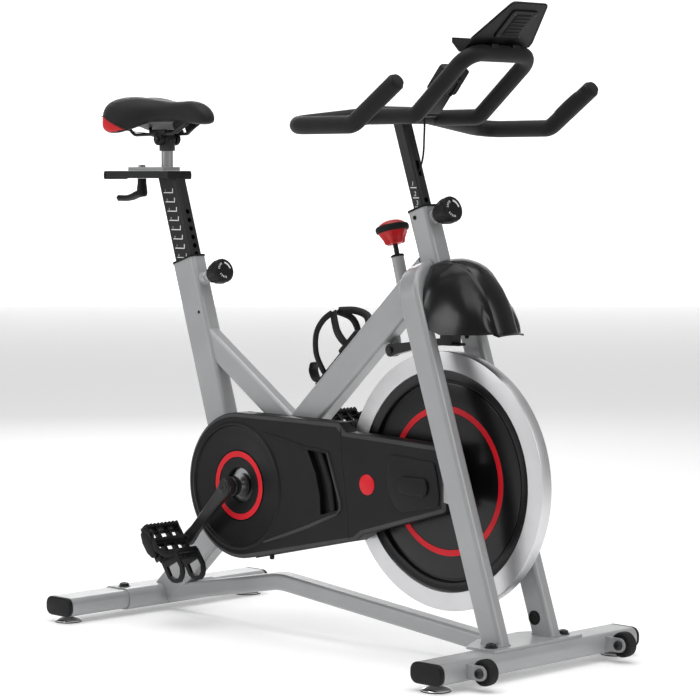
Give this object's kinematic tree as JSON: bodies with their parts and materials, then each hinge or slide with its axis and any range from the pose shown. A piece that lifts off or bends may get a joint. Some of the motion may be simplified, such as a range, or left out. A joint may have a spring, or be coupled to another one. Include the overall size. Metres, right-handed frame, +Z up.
{
  "type": "indoor spin bike",
  "caption": "Stationary belt-drive exercise bicycle with a front flywheel, adjustable saddle and bars, resistance knob, console and rolling base.",
  "frame": {"origin": "middle of the footprint on the floor, between the front and rear levelling feet", "axes": "+X forward, towards the flywheel and handlebar; +Y to the rider's left; +Z up"},
  "size_m": [1.308, 0.598, 1.2702],
  "materials": {
    "frame_paint": "satin silver-grey powder coat",
    "black_steel": "satin black powder coat",
    "black_plastic": "fine moulded texture",
    "gloss_black": "gloss",
    "grip_foam": "soft dipped foam",
    "rubber": "matte",
    "chrome": "polished",
    "rim_steel": "polished and turned",
    "wheel_iron": "gloss black paint",
    "axle_steel": "machined",
    "carriage_paint": "satin silver-grey",
    "saddle_vinyl": "soft-touch vinyl, red side panels",
    "knob_red": "satin red plastic and black rubber"
  },
  "bodies": {
    "frame": {"rear_stabilizer": "frame_paint", "front_stabilizer": "frame_paint", "end_caps": "black_plastic", "rear_bracket": "frame_paint", "front_plate": "frame_paint", "base_tube": "frame_paint", "main_tube": "frame_paint", "seat_tube": "frame_paint", "brace_tube": "frame_paint", "head_tube": "frame_paint", "leg_right": "frame_paint", "leg_left": "frame_paint", "bottom_bracket": "black_steel", "guard_right": "black_plastic", "guard_back": "black_plastic", "guard_left": "black_plastic", "drive_belt": "rubber", "flywheel_axle": "axle_steel", "hood": "gloss_black", "bottle_cage": "black_plastic", "seat_liner": "black_plastic", "head_liner": "black_plastic", "frame_bolts": "black_steel"},
    "foot_rr": {"foot_rear_right": "chrome"},
    "foot_rl": {"foot_rear_left": "chrome"},
    "foot_fr": {"foot_front_right": "chrome"},
    "foot_fl": {"foot_front_left": "chrome"},
    "roller_right": {"wheel_right": "rubber"},
    "roller_left": {"wheel_left": "rubber"},
    "flywheel": {"flywheel_disc": "wheel_iron", "flywheel_rim": "rim_steel"},
    "crankset": {"crank_spindle": "axle_steel", "crank_right": "black_steel", "crank_left": "black_steel"},
    "pedal_r": {"pedal_right": "black_plastic", "toe_cage_right": "black_plastic"},
    "pedal_l": {"pedal_left": "black_plastic", "toe_cage_left": "black_plastic"},
    "seat_mast": {"seat_post": "black_steel", "seat_rail": "black_steel"},
    "seat_slider": {"seat_carriage": "carriage_paint", "saddle_clamp": "black_plastic"},
    "saddle_top": {"saddle_rails": "black_steel", "saddle": "saddle_vinyl"},
    "slider_lever": {"seat_lever": "black_plastic"},
    "seat_pull_pin": {"seat_pin": "axle_steel"},
    "seat_pull_knob": {"seat_knob": "black_plastic"},
    "head_pull_pin": {"head_pin": "axle_steel"},
    "head_pull_knob": {"head_knob": "black_plastic"},
    "bars": {"bar_post": "black_steel", "handlebar": "grip_foam", "console": "black_plastic", "tray": "black_plastic", "console_lead": "rubber"},
    "button_l": {"button_left": "black_plastic"},
    "button_r": {"button_right": "black_plastic"},
    "brake_stem": {"brake_rod": "black_steel"},
    "brake_cap": {"brake_knob": "knob_red"},
    "brake_lever": {"brake_arm": "black_steel"}
  },
  "joints": [
    {"name": "flywheel_spin", "type": "hinge", "parent": "frame", "child": "flywheel", "pos_m": [0.356, 0, 0.3506], "axis": [0, 1, 0], "continuous": true},
    {"name": "crank_spin", "type": "hinge", "parent": "frame", "child": "crankset", "pos_m": [-0.188, 0, 0.3], "axis": [0, 1, 0], "continuous": true},
    {"name": "pedal_right_spin", "type": "hinge", "parent": "crankset", "child": "pedal_r", "pos_m": [-0.30821, -0.15, 0.17979], "axis": [0, 1, 0], "continuous": true},
    {"name": "pedal_left_spin", "type": "hinge", "parent": "crankset", "child": "pedal_l", "pos_m": [-0.06779, 0.15, 0.42021], "axis": [0, 1, 0], "continuous": true},
    {"name": "seat_height", "type": "slide", "parent": "frame", "child": "seat_mast", "axis": [-0.299, 0, 0.9542], "range_m": [-0.14, 0.07]},
    {"name": "seat_fore_aft", "type": "slide", "parent": "seat_mast", "child": "seat_slider", "axis": [1, 0, 0], "range_m": [-0.03, 0.03]},
    {"name": "saddle_tilt", "type": "hinge", "parent": "seat_slider", "child": "saddle_top", "pos_m": [-0.472, 0, 1.026], "axis": [0, 1, 0], "range_deg": [-8, 8]},
    {"name": "slider_lever_turn", "type": "hinge", "parent": "seat_slider", "child": "slider_lever", "pos_m": [-0.556, 0, 0.92], "axis": [0, 0, 1], "range_deg": [-60, 100]},
    {"name": "seat_pin_pull", "type": "slide", "parent": "frame", "child": "seat_pull_pin", "axis": [0.9542, 0, 0.299], "range_m": [0, 0.008], "stiffness_N_per_m": 900},
    {"name": "seat_knob_turn", "type": "hinge", "parent": "seat_pull_pin", "child": "seat_pull_knob", "pos_m": [-0.33009, 0, 0.73428], "axis": [0.9542, 0, 0.299], "continuous": true},
    {"name": "head_pin_pull", "type": "slide", "parent": "frame", "child": "head_pull_pin", "axis": [0.9483, 0, 0.3173], "range_m": [0, 0.008], "stiffness_N_per_m": 900},
    {"name": "head_knob_turn", "type": "hinge", "parent": "head_pull_pin", "child": "head_pull_knob", "pos_m": [0.33291, 0, 0.87183], "axis": [0.9483, 0, 0.3173], "continuous": true},
    {"name": "bar_height", "type": "slide", "parent": "frame", "child": "bars", "axis": [-0.3173, 0, 0.9483], "range_m": [-0.07, 0.05]},
    {"name": "button_left_press", "type": "slide", "parent": "bars", "child": "button_l", "axis": [-0.766, 0, 0.6428], "range_m": [-0.0015, 0], "stiffness_N_per_m": 600},
    {"name": "button_right_press", "type": "slide", "parent": "bars", "child": "button_r", "axis": [-0.766, 0, 0.6428], "range_m": [-0.0015, 0], "stiffness_N_per_m": 600},
    {"name": "brake_press", "type": "slide", "parent": "frame", "child": "brake_stem", "axis": [-0.2588, 0, 0.9659], "range_m": [-0.0036, 0]},
    {"name": "brake_knob_turn", "type": "hinge", "parent": "brake_stem", "child": "brake_cap", "pos_m": [0.224, 0, 0.765], "axis": [-0.2588, 0, 0.9659], "continuous": true},
    {"name": "brake_arm_swing", "type": "hinge", "parent": "frame", "child": "brake_lever", "pos_m": [0.207, 0, 0.6], "axis": [0, 1, 0], "range_deg": [0, 3.5], "stiffness_Nm_per_rad": 8, "springref_deg": -6.88},
    {"name": "roller_right_spin", "type": "hinge", "parent": "frame", "child": "roller_right", "pos_m": [0.636, -0.202, 0.036], "axis": [0, 1, 0], "continuous": true},
    {"name": "roller_left_spin", "type": "hinge", "parent": "frame", "child": "roller_left", "pos_m": [0.636, 0.202, 0.036], "axis": [0, 1, 0], "continuous": true},
    {"name": "foot_rr_turn", "type": "hinge", "parent": "frame", "child": "foot_rr", "pos_m": [-0.5, -0.261, 0], "axis": [0, 0, 1], "continuous": true},
    {"name": "foot_rl_turn", "type": "hinge", "parent": "frame", "child": "foot_rl", "pos_m": [-0.5, 0.261, 0], "axis": [0, 0, 1], "continuous": true},
    {"name": "foot_fr_turn", "type": "hinge", "parent": "frame", "child": "foot_fr", "pos_m": [0.566, -0.261, 0], "axis": [0, 0, 1], "continuous": true},
    {"name": "foot_fl_turn", "type": "hinge", "parent": "frame", "child": "foot_fl", "pos_m": [0.566, 0.261, 0], "axis": [0, 0, 1], "continuous": true}
  ],
  "couplings": [
    {"joint": "crank_spin", "follows": "flywheel_spin", "ratio": 0.25714},
    {"joint": "brake_press", "follows": "brake_arm_swing", "m_per_rad": -0.057}
  ]
}
